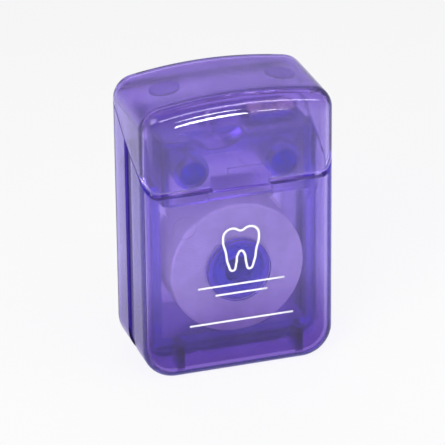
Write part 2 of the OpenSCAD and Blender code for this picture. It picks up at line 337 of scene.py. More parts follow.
def hinge_chamfer(bm, depth, z):
    """Slopes the outer edge beside the hinge, so that the cap can fold back past the rear face."""
    near = [v for v in bm.verts if abs(v.co.z - z) < 2 * TINY and depth - 0.0001 < v.co.y < depth + TINY]
    row = [e for e in {e for v in near for e in v.link_edges} if all(v in near for v in e.verts)]
    slope = 0.00045
    bmesh.ops.bevel(
        bm, geom=row, offset=slope, offset_type="OFFSET", segments=1, profile=0.5, affect="EDGES", material=-1
    )


def circle_at(bm, x, y, z, radius, segments=48):
    """A ring of edges that faces along the depth."""
    place = Matrix.Translation((x, y, z)) @ Matrix.Rotation(math.pi / 2, 4, "X")
    made = bmesh.ops.create_circle(bm, segments=segments, radius=radius, cap_ends=False, matrix=place)
    return list({e for v in made["verts"] for e in v.link_edges})


def oblong_at(bm, x, y, z, width, tall):
    """A rectangle of edges that faces along the depth."""
    upright = Matrix.Translation((x, y, z)) @ Matrix.Rotation(math.pi / 2, 4, "X")
    place = upright @ Matrix.Diagonal((width, tall, 1, 1)) @ Matrix.Rotation(math.pi / 4, 4, "Z")
    made = bmesh.ops.create_circle(bm, segments=4, radius=math.sqrt(0.5), cap_ends=False, matrix=place)
    return list({e for v in made["verts"] for e in v.link_edges})


def open_floor(bm, y):
    """Removes the flat faces at one depth and returns the edges left round them."""
    flat = faces_at(bm, y)
    inside = set(flat)
    rim = list({e for f in flat for e in f.edges if any(g not in inside for g in e.link_faces)})
    within = list({e for f in flat for e in f.edges if all(g in inside for g in e.link_faces)})
    bmesh.ops.delete(bm, geom=flat, context="FACES_ONLY")
    bmesh.ops.delete(bm, geom=[e for e in within if e.is_valid], context="EDGES")
    return [e for e in rim if e.is_valid]


def step_loop(bm, loop, depth=0.0, scale=1.0):
    """Carries a closed loop along the depth, or grows it about its own middle."""
    made = bmesh.ops.extrude_edge_only(bm, edges=loop)["geom"]
    new = verts_of(made)
    centre = sum((v.co for v in new), Vector()) / len(new)
    bmesh.ops.scale(bm, vec=(scale, scale, scale), space=Matrix.Translation(-centre), verts=new)
    bmesh.ops.translate(bm, verts=new, vec=(0, depth, 0))
    fresh = set(new)
    return [e for e in edges_of(made) if e.verts[0] in fresh and e.verts[1] in fresh]


def clean(bm):
    """Merges doubled corners and turns all faces outwards."""
    bmesh.ops.remove_doubles(bm, verts=bm.verts[:], dist=TINY)
    bmesh.ops.dissolve_degenerate(bm, edges=bm.edges[:], dist=TINY)
    bmesh.ops.recalc_face_normals(bm, faces=bm.faces[:])


def piece(bm, name, body, material, replaced=(), edge=0.0, smooth=True):
    """Makes the mesh a piece with its finish, its soft edges and the body that it rides on."""
    mesh = bpy.data.meshes.new(name)
    bm.to_mesh(mesh)
    bm.free()
    obj = bpy.data.objects.new(name, mesh)
    bpy.context.scene.collection.objects.link(obj)
    if smooth:
        mesh.shade_smooth()
    mesh.materials.append(material)
    if edge:
        soft = obj.modifiers.new("soft edges", "BEVEL")
        soft.width = edge
        soft.segments = 2
        soft.limit_method = "ANGLE"
        soft.angle_limit = math.radians(35)
        soft.miter_outer = "MITER_ARC"
        even = obj.modifiers.new("even shading", "WEIGHTED_NORMAL")
        even.keep_sharp = False
    if replaced:
        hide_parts(*replaced)
    if body:
        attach(obj, body)
    return obj


def copied(node):
    """A merged copy of a CAD node's mesh, with its flat faces whole again."""
    bm = bmesh.new()
    bm.from_mesh(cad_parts[node].data)
    bmesh.ops.remove_doubles(bm, verts=bm.verts[:], dist=TINY)
    bmesh.ops.dissolve_limit(bm, angle_limit=math.radians(1), verts=bm.verts[:], edges=bm.edges[:])
    return bm


def named_material(name):
    return bpy.data.materials.get(name) or bpy.data.materials.new(name)


class Nodes:
    """Short calls for laying out the nodes of a material or a world."""

    def __init__(self, owner, output="OutputMaterial"):
        self.owner = owner
        owner.use_nodes = True
        self.tree = owner.node_tree
        self.tree.nodes.clear()
        self.out = self.add(output)

    def add(self, kind, links=None, values=None, **settings):
        node = self.tree.nodes.new("ShaderNode" + kind)
        for key, value in settings.items():
            setattr(node, key, value)
        for key, value in (values or {}).items():
            node.inputs[key].default_value = value
        for key, source in (links or {}).items():
            self.tree.links.new(source, node.inputs[key])
        return node

    def place(self, scale=(1, 1, 1), location=(0, 0, 0)):
        """The place on the piece, stretched or moved."""
        source = self.add("TexCoord").outputs["Object"]
        node = self.add("Mapping", {"Vector": source}, {"Scale": scale, "Location": location})
        return node.outputs["Vector"]

    def noise(self, vector, scale, detail=3.0, roughness=0.5):
        values = {"Scale": scale, "Detail": detail, "Roughness": roughness}
        return self.add("TexNoise", {"Vector": vector}, values).outputs["Fac"]

    def varied(self, factor, tint, low, high):
        """The tint, drifting between a darker and a lighter shade of itself."""
        node = self.add("ValToRGB", {"Fac": factor})
        for element, position, share in zip(node.color_ramp.elements, (0.3, 0.7), (low, high)):
            element.position = position
            element.color = (*shade(tint, share), 1)
        return node.outputs["Color"]

    def span(self, factor, low, high, start=0.3, end=0.7):
        """A value that goes from low to high while the factor goes from start to end."""
        values = {"From Min": start, "From Max": end, "To Min": low, "To Max": high}
        return self.add("MapRange", {"Value": factor}, values).outputs["Result"]

    def math(self, operation, *terms, **settings):
        """The result of a sum on sockets and plain numbers."""
        node = self.add("Math", operation=operation, **settings)
        for socket, term in zip(node.inputs, terms):
            if isinstance(term, float):
                socket.default_value = term
            else:
                self.tree.links.new(term, socket)
        return node.outputs["Value"]

    def bump(self, height, distance, under=None):
        links = {"Height": height}
        if under:
            links["Normal"] = under
        return self.add("Bump", links, {"Strength": 1.0, "Distance": distance}).outputs["Normal"]

    def finish(self, shader, volume=None):
        self.tree.links.new(shader, self.out.inputs["Surface"])
        if volume:
            self.tree.links.new(volume, self.out.inputs["Volume"])
        return self.owner

    def solid(self, tint, roughness, normal, values):
        """Ends the material with one surface that no light goes through."""
        links = {"Base Color": tint, "Roughness": roughness, "Normal": normal}
        return self.finish(self.add("BsdfPrincipled", links, values).outputs["BSDF"])


def shade(tint, factor):
    return tuple(min(c * factor, 1.0) for c in tint)


def shade_spot(n, where, centre, reach, least):
    """Painted shade that falls to its least inside an oval spot, and in the spot's mirror image on the other
    side.
    """
    away = n.add("VectorMath", {0: where}, operation="ABSOLUTE").outputs["Vector"]
    away = n.add("VectorMath", {0: away}, {1: centre}, operation="SUBTRACT").outputs["Vector"]
    away = n.add("VectorMath", {0: away}, {1: reach}, operation="DIVIDE").outputs["Vector"]
    return n.span(n.add("VectorMath", {0: away}, operation="LENGTH").outputs["Value"], least, 1.0, 0.9, 1.15)


def shell_shade_zones(n, where):
    """Painted shade that falls in the stop ribs, the pegs, the tab's lip and the rear shell's rim, which are
    seen edge on.
    """
    split = n.add("SeparateXYZ", {"Vector": where}).outputs
    from_rim = n.math("ABSOLUTE", n.math("SUBTRACT", split["Y"], 0.00125))
    rim = n.math("MAXIMUM", n.span(from_rim, 0.0, 1.0, 0.0002, 0.0005), band_shade_zone(n, where))
    in_cap = n.span(split["Z"], 0.0, 1.0, 0.04, 0.0403)
    level = n.math("MAXIMUM", rim, in_cap)
    for spot in (RIB_SHADE_SPOT, PEG_SHADE_SPOT, LIP_SHADE_SPOT):
        level = n.math("MULTIPLY", level, shade_spot(n, where, *spot))
    return level


def frame_shade_zones(n, where):
    """Painted shade that falls to 0 in the band between the shells, and part of the way over the neck, most
    at its sides and on its deck.
    """
    split = n.add("SeparateXYZ", {"Vector": where}).outputs
    side = n.span(n.math("ABSOLUTE", split["X"]), 0.42, 0.8, 0.0112, 0.0118)
    deck = n.span(split["Z"], 0.42, 0.75, 0.0402, 0.0412)
    depth = n.math("MAXIMUM", side, deck)
    neck = n.span(split["Z"], 0.0, -1.0, 0.0303, 0.0323)
    return n.math("MULTIPLY", n.math("MULTIPLY_ADD", depth, neck, 1.0), band_shade_zone(n, where))


def band_shade_zone(n, where):
    """Painted shade that falls to 0 in the frame's band, the dark groove between the shells."""
    split = n.add("SeparateXYZ", {"Vector": where}).outputs
    inner = n.span(n.math("ABSOLUTE", split["X"]), 1.0, 0.0, 0.0152, 0.0156)
    return n.math("MULTIPLY", inner, n.span(split["Z"], 0.0, 1.0, 0.0009, 0.0013))


def clear_plastic(name, finishes, tint, clearness, roughness, depth, shade_zones=shell_shade_zones, ior=1.47):
    """Clear moulded plastic that lets lamplight pass, with faint flow in its tint, a slight waviness and
    painted shade towards the bottom, on the crown and where the given shade map falls.
    """
    n = Nodes(named_material(name))
    where = n.place()
    flow = n.noise(n.place(scale=(1, 1, 0.35)), 170.0, 3.0)
    wave = n.noise(where, 260.0, 2.0)
    scuff = n.noise(where, 2600.0, 4.0, 0.7)
    height = n.add("SeparateXYZ", {"Vector": where}).outputs["Z"]
    # painted shade by height: darker towards the bottom and on the crown, with the random flow added to it
    low = n.span(height, 0.0, 1.0, 0.004, 0.017)
    high = n.span(height, 1.0, 0.35, 0.0445, 0.0475)
    height_shade_and_flow = n.math("ADD", n.math("MULTIPLY", low, high), n.span(flow, -0.12, 0.12))
    # painted shade: at level 1 the surface keeps its own tint, at 0.2 it takes the deep shade and at 0 the
    # deepest shade
    level = n.math("MULTIPLY", n.span(height_shade_and_flow, 0.2, 1.0, 0.0, 1.0), shade_zones(n, where))
    tint_with_shade = n.add("ValToRGB", {"Fac": level})
    darkest_shade = finishes.recess_shade if shade_zones is frame_shade_zones else shade(finishes.deep_shade_tint, 0.5)
    tint_with_shade.color_ramp.elements[0].color = (*darkest_shade, 1)
    tint_with_shade.color_ramp.elements[1].color = (*tint, 1)
    tint_with_shade.color_ramp.elements.new(0.2).color = (*finishes.deep_shade_tint, 1)
    gloss = n.span(scuff, roughness * 0.8, roughness * 1.5)
    normal = n.bump(scuff, 1.1e-6, n.bump(wave, 2.2e-5))
    links = {"Base Color": tint_with_shade.outputs["Color"], "Roughness": gloss, "Normal": normal}
    body = n.add("BsdfPrincipled", links, {"IOR": ior, "Transmission Weight": clearness})
    # in the frame's band between the shells the plastic turns opaque and dull, so its painted shade shows as
    # the dark groove
    if shade_zones is frame_shade_zones:
        body.inputs["Specular IOR Level"].default_value = 0.2
        see_through = n.span(band_shade_zone(n, where), 0.0, clearness, 0.0, 1.0)
        n.tree.links.new(see_through, body.inputs["Transmission Weight"])
    passed = n.add("BsdfTransparent", values={"Color": (*shade(tint, 1.12), 1)})
    shadow = n.add("LightPath").outputs["Is Shadow Ray"]
    mixed = n.add("MixShader", {0: shadow, 1: body.outputs["BSDF"], 2: passed.outputs["BSDF"]})
    inside = n.add("VolumeAbsorption", values={"Color": (*finishes.absorbed, 1), "Density": depth})
    return n.finish(mixed.outputs["Shader"], inside.outputs["Volume"])


def shell_plastic(finishes):
    """The clear plastic of the shells and the cap."""
    clearness = finishes.clearness
    return clear_plastic("clear violet", finishes, finishes.shell_tint, clearness, 0.13, finishes.depth)


def mould_line_plastic(finishes):
    """The same plastic with a sharp gloss, where the mould was polished."""
    tint = finishes.shell_tint
    return clear_plastic("polished violet", finishes, tint, 0.96, 0.03, finishes.depth, ior=2.2)


def frame_plastic(finishes):
    """The frame's plastic, which is paler in depth, with painted shade on its neck and a dark painted shade
    in the band between the shells.
    """
    clearness = finishes.clearness
    depth = finishes.depth * 0.4
    return clear_plastic("frame violet with painted shade", finishes, finishes.frame_tint, clearness, 0.18, depth, frame_shade_zones)


def core_plastic(finishes):
    """The core's plastic, with fine turning marks round its axis."""
    n = Nodes(named_material("core violet"))
    to_axis = (0, 0, -0.0181)
    where = n.place(location=to_axis)
    values = {"Scale": 900.0, "Distortion": 1.5, "Detail": 2.0}
    rings = n.add("TexWave", {"Vector": where}, values, wave_type="RINGS", rings_direction="Y")
    grain = n.noise(where, 900.0, 4.0)
    tint = n.varied(grain, finishes.core_tint, 0.85, 1.15)
    return n.solid(tint, n.span(grain, 0.3, 0.45), n.bump(rings.outputs["Fac"], 8e-6), {"IOR": 1.47})


def brushed_steel(finishes):
    """Stamped stainless sheet, brushed along its length, with a few darker rubs."""
    n = Nodes(named_material("brushed steel"))
    lines = n.noise(n.place(scale=(1, 14, 14)), 900.0, 4.0, 0.6)
    rubs = n.noise(n.place(), 700.0, 3.0)
    tint = n.varied(rubs, finishes.steel, 0.86, 1.1)
    values = {"Metallic": 1.0, "Anisotropic": 0.45}
    return n.solid(tint, n.span(lines, 0.18, 0.36), n.bump(lines, 3e-6), values)


def wound_floss(finishes):
    """Floss laid turn by turn, crossing at a low angle, with a waxy sheen. It follows the piece's own map."""
    n = Nodes(named_material("wound floss"))
    values = {"Scale": 1.15, "Distortion": 2.5, "Detail": 3.0, "Detail Scale": 1.5}
    turns = []
    for slope in (0.06, -0.06):
        source = n.add("TexCoord").outputs["UV"]
        lay = n.add("Mapping", {"Vector": source}, {"Rotation": (0, 0, slope)})
        links = {"Vector": lay.outputs["Vector"]}
        turns.append(n.add("TexWave", links, values, wave_type="BANDS", bands_direction="Y").outputs["Fac"])
    clump = n.noise(n.place(), 500.0, 4.0)
    tint = n.varied(clump, finishes.floss, 0.86, 1.04)
    return n.solid(tint, n.span(clump, 0.42, 0.6), n.bump(n.math("MAXIMUM", *turns), 9e-5), WAXED)


def strand_floss(finishes):
    """One strand of floss, with its fibres running at a slight twist."""
    n = Nodes(named_material("strand floss"))
    fibres = n.noise(n.place(scale=(1, 9, 3)), 1500.0, 4.0, 0.6)
    tint = n.varied(fibres, finishes.floss, 0.84, 1.06)
    return n.solid(tint, n.span(fibres, 0.4, 0.58), n.bump(fibres, 3e-5), WAXED)


def print_ink(finishes):
    """Screen-printed ink with slightly thin spots."""
    n = Nodes(named_material("white ink"))
    thin = n.noise(n.place(), 5200.0, 5.0, 0.65)
    tint = n.varied(thin, finishes.ink, 0.9, 1.0)
    return n.solid(tint, n.span(thin, 0.3, 0.5), n.bump(thin, 2e-6), {"IOR": 1.48})


class DISPENSER_OT_front_shell(bpy.types.Operator):
    """Builds the front shell with its ribs, its boss and the round marks on its inner face"""

    bl_idname = "dispenser.front_shell"
    bl_label = "Front shell"

    def execute(self, context):
        sizes, finishes = settings(context)
        face = -sizes.half_depth
        inner = face + sizes.shell_wall
        line = shell_line(sizes)
        bm = bmesh.new()
        swept_body(bm, sizes, face, -sizes.front_rim)
        close_flat(bm, face)
        trim(bm, line, keep_above=False)
        give_wall(bm, sizes.shell_wall)
        scoop_under_tab(bm, sizes, line[0].y)
        rim = open_floor(bm, inner)
        boss = circle_at(bm, 0, inner, sizes.bobbin_height, sizes.core_radius, 64)
        marks = [circle_at(bm, x * MM, inner, z * MM, r * MM) for x, z, r in EJECTOR_MARKS]
        ribs = [oblong_at(bm, side * RIB_X, inner, RIB_Z, *RIB_SIZE) for side in (-1, 1)]
        loops = [boss] + marks + ribs
        bmesh.ops.triangle_fill(bm, use_beauty=True, edges=rim + [e for loop in loops for e in loop])
        top = step_loop(bm, boss, BOSS_END - inner)
        top = step_loop(bm, top, 0, BOSS_BORE / sizes.core_radius)
        top = step_loop(bm, top, BOSS_BORE_DEPTH)
        bmesh.ops.edgeloop_fill(bm, edges=top)
        for loop in marks:
            bmesh.ops.edgeloop_fill(bm, edges=step_loop(bm, loop, -0.0001))
        for loop in ribs:
            bmesh.ops.edgeloop_fill(bm, edges=step_loop(bm, loop, RIB_END - inner))
        clean(bm)
        plastic = shell_plastic(finishes)
        piece(bm, "front_shell_body", "casing", plastic, ["front_shell"], sizes.soft_edge)
        return {"FINISHED"}


def swept_body(bm, sizes, y_front, y_rear):
    """The skin of a shell's long edge and sides: down the right, along the bottom and up the left."""
    top = 0.047
    r = sizes.bottom_radius
    flat = sizes.half_width - r
    row = side_section(bm, sizes, 1, top, y_front, y_rear)
    row = drag(bm, row, (0, 0, r - top))
    row = swing(bm, row, (flat, 0, r), 90, 14)
    row = drag(bm, row, (-2 * flat, 0, 0))
    row = swing(bm, row, (-flat, 0, r), 90, 14)
    drag(bm, row, (0, 0, top - r))
    bmesh.ops.remove_doubles(bm, verts=bm.verts[:], dist=TINY)


def scoop_under_tab(bm, sizes, top):
    """Shallow scoop in the front face that a thumbnail slides up to reach the tab."""
    face = -sizes.half_depth
    reach = 0.00215
    radius = 0.006
    axis_depth = 0.0056
    half = sizes.tab_half_width + 0.0005
    across = (-half - 0.0002, -half, half, half + 0.0002)
    slice_flat(bm, face, across, [top - reach * k / 6 for k in range(1, 7)])
    for v in bm.verts:
        drop = top - v.co.z
        if abs(v.co.y - face) < TINY and abs(v.co.x) < half + TINY and drop < reach:
            v.co.y += math.sqrt(radius**2 - drop**2) - axis_depth


class DISPENSER_OT_rear_shell(bpy.types.Operator):
    """Builds the rear shell with its hollow post and its two locating pegs"""

    bl_idname = "dispenser.rear_shell"
    bl_label = "Rear shell"

    def execute(self, context):
        sizes, finishes = settings(context)
        face = sizes.half_depth
        inner = face - sizes.shell_wall
        bm = bmesh.new()
        swept_body(bm, sizes, sizes.rear_rim, face)
        close_flat(bm, face)
        line = shell_line(sizes)
        trim(bm, line, keep_above=False)
        give_wall(bm, sizes.shell_wall)
        hinge_chamfer(bm, face, line[-1].y)
        rim = open_floor(bm, inner)
        collar = circle_at(bm, 0, inner, sizes.bobbin_height, sizes.core_radius, 64)
        pegs = [circle_at(bm, side * PEG_X, inner, PEG_Z, sizes.peg_radius) for side in (-1, 1)]
        loops = [collar] + pegs
        bmesh.ops.triangle_fill(bm, use_beauty=True, edges=rim + [e for loop in loops for e in loop])
        top = step_loop(bm, collar, COLLAR_END - inner)
        top = step_loop(bm, top, 0, sizes.post_radius / sizes.core_radius)
        top = step_loop(bm, top, POST_END - COLLAR_END)
        top = step_loop(bm, top, 0, POST_BORE / sizes.post_radius)
        top = step_loop(bm, top, POST_BORE_FLOOR - POST_END)
        bmesh.ops.edgeloop_fill(bm, edges=top)
        for loop in pegs:
            bmesh.ops.edgeloop_fill(bm, edges=step_loop(bm, loop, PEG_END - inner))
        clean(bm)
        plastic = shell_plastic(finishes)
        piece(bm, "rear_shell_body", "casing", plastic, ["rear_shell"], sizes.soft_edge)
        return {"FINISHED"}


class DISPENSER_OT_cap(bpy.types.Operator):
    """Builds the crowned flip cap with its thumb tab"""

    bl_idname = "dispenser.cap"
    bl_label = "Flip cap"

    def execute(self, context):
        sizes, finishes = settings(context)
        half = sizes.half_width
        face = -sizes.half_depth
        r = sizes.top_radius
        arc_r, arc_z = crown_arc(sizes)
        lean = math.degrees(math.asin((half - r) / (arc_r - r)))
        corner_z = arc_z + (arc_r - r) * math.cos(math.radians(lean))
        foot = 0.032
        line = cap_line()
        bm = bmesh.new()
        row = side_section(bm, sizes, -1, foot, face, sizes.half_depth)
        row = drag(bm, row, (0, 0, corner_z - foot))
        row = swing(bm, row, (r - half, 0, corner_z), 90 - lean, 12)
        row = swing(bm, row, (0, 0, arc_z), 2 * lean, 24)
        row = swing(bm, row, (half - r, 0, corner_z), 90 - lean, 12)
        drag(bm, row, (0, 0, foot - corner_z))
        bmesh.ops.remove_doubles(bm, verts=bm.verts[:], dist=TINY)
        close_flat(bm, face)
        close_flat(bm, sizes.half_depth)
        trim(bm, line, keep_above=True)
        tab = sizes.tab_half_width
        slice_flat(bm, face, (-tab - 0.0003, -tab, tab, tab + 0.0003), list(TAB_RISE)[:-1])
        give_wall(bm, sizes.cap_wall)
        hinge_chamfer(bm, sizes.half_depth, line[-1].y)
        shape_tab(bm, sizes)
        clean(bm)
        piece(bm, "cap_body", "cap", shell_plastic(finishes), ["flip_cap"], sizes.soft_edge)
        return {"FINISHED"}


def draw_down(bm, faces, drop):
    """Draws faces down, removes the ones left inside and returns the new ones."""
    made = bmesh.ops.extrude_face_region(bm, geom=faces)["geom"]
    bmesh.ops.delete(bm, geom=[f for f in faces if f.is_valid], context="FACES_ONLY")
    bmesh.ops.translate(bm, verts=verts_of(made), vec=(0, 0, -drop))
    return [g for g in made if isinstance(g, bmesh.types.BMFace)]


def shape_tab(bm, sizes):
    """Draws the middle of the cap's front edge out and down into the thumb tab."""
    face = -sizes.half_depth
    low = list(TAB_RISE)[-1]
    tab = sizes.tab_half_width
    for v in bm.verts:
        if abs(v.co.y - face) < TINY and abs(v.co.x) < tab + TINY:
            for z, share in TAB_RISE.items():
                if abs(v.co.z - z) < 2 * TINY:
                    v.co.y -= share * sizes.tab_rise
    lip = []
    for f in bm.faces:
        c = f.calc_center_median()
        under = abs(c.z - low) < 2 * TINY and abs(f.normal.z) > 0.9
        if under and abs(c.x) < tab and c.y < face + sizes.cap_wall:
            lip.append(f)
    lip = draw_down(bm, lip, TAB_HANG)
    lip = draw_down(bm, lip, TAB_CHAMFER)
    for v in {v for f in lip for v in f.verts}:
        if v.co.y < face:
            v.co.y += TAB_CHAMFER


class DISPENSER_OT_cap_details(bpy.types.Operator):
    """Builds the two round pads under the crown and the fine mould lines along the cap's front"""

    bl_idname = "dispenser.cap_details"
    bl_label = "Cap details"

    def execute(self, context):
        sizes, finishes = settings(context)
        arc_r, arc_z = crown_arc(sizes)
        thick = 0.00025
        gap = 0.00003
        radius = 0.00255
        away = 0.01
        reach = arc_r - sizes.cap_wall - thick / 2 - gap
        bm = bmesh.new()
        for side in (-1, 1):
            tilt = Matrix.Rotation(side * math.asin(away / arc_r), 4, "Y")
            place = Matrix.Translation((0, -0.0002, arc_z)) @ tilt @ Matrix.Translation((0, 0, reach))
            bmesh.ops.create_cone(
                bm, cap_ends=True, segments=64, radius1=radius, radius2=radius, depth=thick, matrix=place
            )
        piece(bm, "cap_pads", "cap", shell_plastic(finishes), [], FINE_EDGE)
        bm = bmesh.new()
        for x0, x1, drop, tall in MOULD_LINES:
            mould_step(bm, arc_r, arc_z, -sizes.half_depth, x0 * MM, x1 * MM, drop * MM, tall * MM)
        plastic = mould_line_plastic(finishes)
        piece(bm, "cap_mould_lines", "cap", plastic, smooth=False)
        return {"FINISHED"}


def mould_step(bm, arc_r, arc_z, face, x0, x1, drop, tall):
    """A fine sloping step left by the mould along the crown's arc, uneven in width and thin at its ends."""
    before = set(bm.verts)
    first = math.asin(x0 / arc_r)
    last = math.asin(x1 / arc_r)
    reach = arc_r - drop
    root = 0.00002
    section = [(root, tall), (root - 0.36 * tall, 0.0), (root, -0.12 * tall)]
    row = [bm.verts.new((0, face + y, arc_z + reach + z)) for y, z in section]
    edges = [bm.edges.new(pair) for pair in zip(row, row[1:] + row[:1])]
    centre = (0, 0, arc_z)
    bmesh.ops.rotate(bm, verts=row, cent=centre, matrix=Matrix.Rotation(first, 3, "Y"))
    made = bmesh.ops.spin(
        bm, geom=row + edges, cent=centre, axis=(0, 1, 0), angle=last - first, steps=24, use_merge=False
    )
    bmesh.ops.edgeloop_fill(bm, edges=edges)
    bmesh.ops.edgeloop_fill(bm, edges=edges_of(made["geom_last"]))
    for v in set(bm.verts) - before:
        along = math.atan2(v.co.x, v.co.z - arc_z)
        t = (along - first) / (last - first)
        full = min(1.5 * math.sin(math.pi * min(max(t, 0), 1)), 1)
        width = 0.45 + 0.45 * full + 0.1 * math.sin(43 * t)
        radius = reach + (math.hypot(v.co.x, v.co.z - arc_z) - reach) * width
        depth = face + root + (v.co.y - face - root) * width
        v.co = (radius * math.sin(along), depth, arc_z + radius * math.cos(along))


class DISPENSER_OT_frame(bpy.types.Operator):
    """Builds the inner frame, with its moulded edges softened, from the CAD shape"""

    bl_idname = "dispenser.frame"
    bl_label = "Inner frame"

    def execute(self, context):
        sizes, finishes = settings(context)
        bm = copied("inner_frame")
        plastic = frame_plastic(finishes)
        piece(bm, "frame_body", "casing", plastic, ["inner_frame"], sizes.soft_edge)
        return {"FINISHED"}


class DISPENSER_OT_hinge(bpy.types.Operator):
    """Builds the thin web of the living hinge"""

    bl_idname = "dispenser.hinge"
    bl_label = "Living hinge"

    def execute(self, context):
        finishes = context.scene.dispenser_finishes
        bm = bmesh.new()
        half = 0.0115
        depth = 0.009
        low = 0.0452
        high = 0.0462
        thickness = 0.00028
        steps = 12
        edges = [bm.edges.new((bm.verts.new((-half, depth, low)), bm.verts.new((half, depth, low))))]
        for _ in range(steps):
            edges = drag(bm, edges, (0, 0, (high - low) / steps))
        bmesh.ops.solidify(bm, geom=bm.faces[:], thickness=thickness)
        middle = sum((v.co.y for v in bm.verts), 0.0) / len(bm.verts)
        bmesh.ops.translate(bm, verts=bm.verts[:], vec=(0, depth - middle, 0))
        clean(bm)
        obj = piece(bm, "hinge_strip", None, shell_plastic(finishes), ["hinge_web"])
        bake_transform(obj)
        return {"FINISHED"}


class DISPENSER_OT_cutter(bpy.types.Operator):
    """Builds the stamped cutter, with its burred edges eased, from the CAD shape"""

    bl_idname = "dispenser.cutter"
    bl_label = "Cutter"

    def execute(self, context):
        finishes = context.scene.dispenser_finishes
        bm = copied("cutter")
        piece(bm, "cutter_plate", "casing", brushed_steel(finishes), ["cutter"], FINE_EDGE)
        return {"FINISHED"}


def turned(bm, profile, centre, steps):
    """Spins a closed profile of radius and depth, in metres, about the bobbin's axis."""
    ring = [bm.verts.new((r, y, centre[2])) for r, y in profile]
    edges = [bm.edges.new((a, b)) for a, b in zip(ring, ring[1:] + ring[:1])]
    bmesh.ops.spin(
        bm, geom=ring + edges, cent=centre, axis=(0, 1, 0), angle=2 * math.pi, steps=steps, use_merge=True
    )
    clean(bm)


def core_profile(bore, radius, front, back):
    """Section of the core's tube, with its edges chamfered."""
    c = 0.00025
    half = [(bore + c, front), (radius - c, front), (radius, front + c), (radius, back - c)]
    return half + [(radius - c, back), (bore + c, back), (bore, back - c), (bore, front + c)]


def winding_profile(core, radius, front, back):
    """Section of the wound floss, with rippled ends, rippled turns and round shoulders."""
    shoulder = 0.0006
    end_ripple = 0.00008
    turn_ripple = 0.00007
    rim = radius - shoulder
    width = back - front - 2 * shoulder
    turns = [math.radians(degrees) for degrees in (30, 60, 90)]
    arcs = [(shoulder * math.sin(turn), shoulder * math.cos(turn)) for turn in turns]
    profile = [(core, front + 0.0001)]
    profile += [(core + (rim - core) * k / 8, front + end_ripple * (k % 2)) for k in range(1, 9)]
    profile += [(rim + sine, front + shoulder - cosine) for sine, cosine in arcs]
    profile += [(radius - turn_ripple * (k % 2), front + shoulder + width * k / 10) for k in range(1, 10)]
    profile += [(rim + sine, back - shoulder + cosine) for sine, cosine in reversed(arcs)]
    profile += [(rim - (rim - core) * k / 8, back - end_ripple * (k % 2)) for k in range(8)]
    return profile + [(core, back - 0.0001)]


class DISPENSER_OT_bobbin(bpy.types.Operator):
    """Builds the bobbin's core and the floss that is wound on it"""

    bl_idname = "dispenser.bobbin"
    bl_label = "Bobbin"

    def execute(self, context):
        sizes, finishes = settings(context)
        centre = (0, 0, sizes.bobbin_height)
        play = 0.00007
        core = sizes.core_radius
        bm = bmesh.new()
        turned(bm, core_profile(sizes.post_radius + play, core, *CORE_ENDS), centre, 72)
        piece(bm, "core_tube", "bobbin", core_plastic(finishes), ["spool_core"])

        bm = bmesh.new()
        turned(bm, winding_profile(core, sizes.winding_radius, *WINDING_ENDS), centre, 96)
        map_turns(bm, centre, sizes.winding_radius, sizes.floss_thickness)
        piece(bm, "floss_turns", "bobbin", wound_floss(finishes), ["floss_winding"])
        return {"FINISHED"}


def map_turns(bm, centre, radius, width):
    """Gives the winding its own map in strand widths, along a turn one way and across the turns the other."""
    layer = bm.loops.layers.uv.new("turns")
    for f in bm.faces:
        facing = abs(f.normal.y) > 0.7
        first = f.verts[0].co
        base = math.atan2(first.z - centre[2], first.x)
        for loop in f.loops:
            x, y, z = loop.vert.co
            z -= centre[2]
            a = math.atan2(z, x)
            a += 2 * math.pi * round((base - a) / (2 * math.pi))
            loop[layer].uv = (a * radius / width, (math.hypot(x, z) if facing else y) / width)


class DISPENSER_OT_strand(bpy.types.Operator):
    """Builds the stretch of floss from the winding to the cutter"""

    bl_idname = "dispenser.strand"
    bl_label = "Strand"

    def execute(self, context):
        sizes, finishes = settings(context)
        bm = bmesh.new()
        add_tube(bm, STRAND_ROUTE, sizes.floss_thickness / 2)
        clean(bm)
        piece(bm, "floss_line", "casing", strand_floss(finishes), ["floss_strand"])
        return {"FINISHED"}


def add_tube(bm, route, radius, closed=False):
    """Adds a round tube along a smooth curve through the route's points, which are in millimetres."""
    points = [Vector(p) * MM for p in route]
    curve = bpy.data.curves.new("route", "CURVE")
    curve.dimensions = "3D"
    curve.bevel_depth = radius
    curve.bevel_resolution = 3
    curve.resolution_u = 6
    curve.use_fill_caps = True
    spline = curve.splines.new("BEZIER")
    spline.bezier_points.add(len(points) - 1)
    for knot, point in zip(spline.bezier_points, points):
        knot.co = point
        knot.handle_left_type = "AUTO"
        knot.handle_right_type = "AUTO"
    spline.use_cyclic_u = closed
    holder = bpy.data.objects.new("route", curve)
    bpy.context.scene.collection.objects.link(holder)
    bpy.context.view_layer.update()
    graph = bpy.context.evaluated_depsgraph_get()
    mesh = bpy.data.meshes.new_from_object(holder.evaluated_get(graph))
    bm.from_mesh(mesh)
    bpy.data.objects.remove(holder)
    bpy.data.curves.remove(curve)
    bpy.data.meshes.remove(mesh)


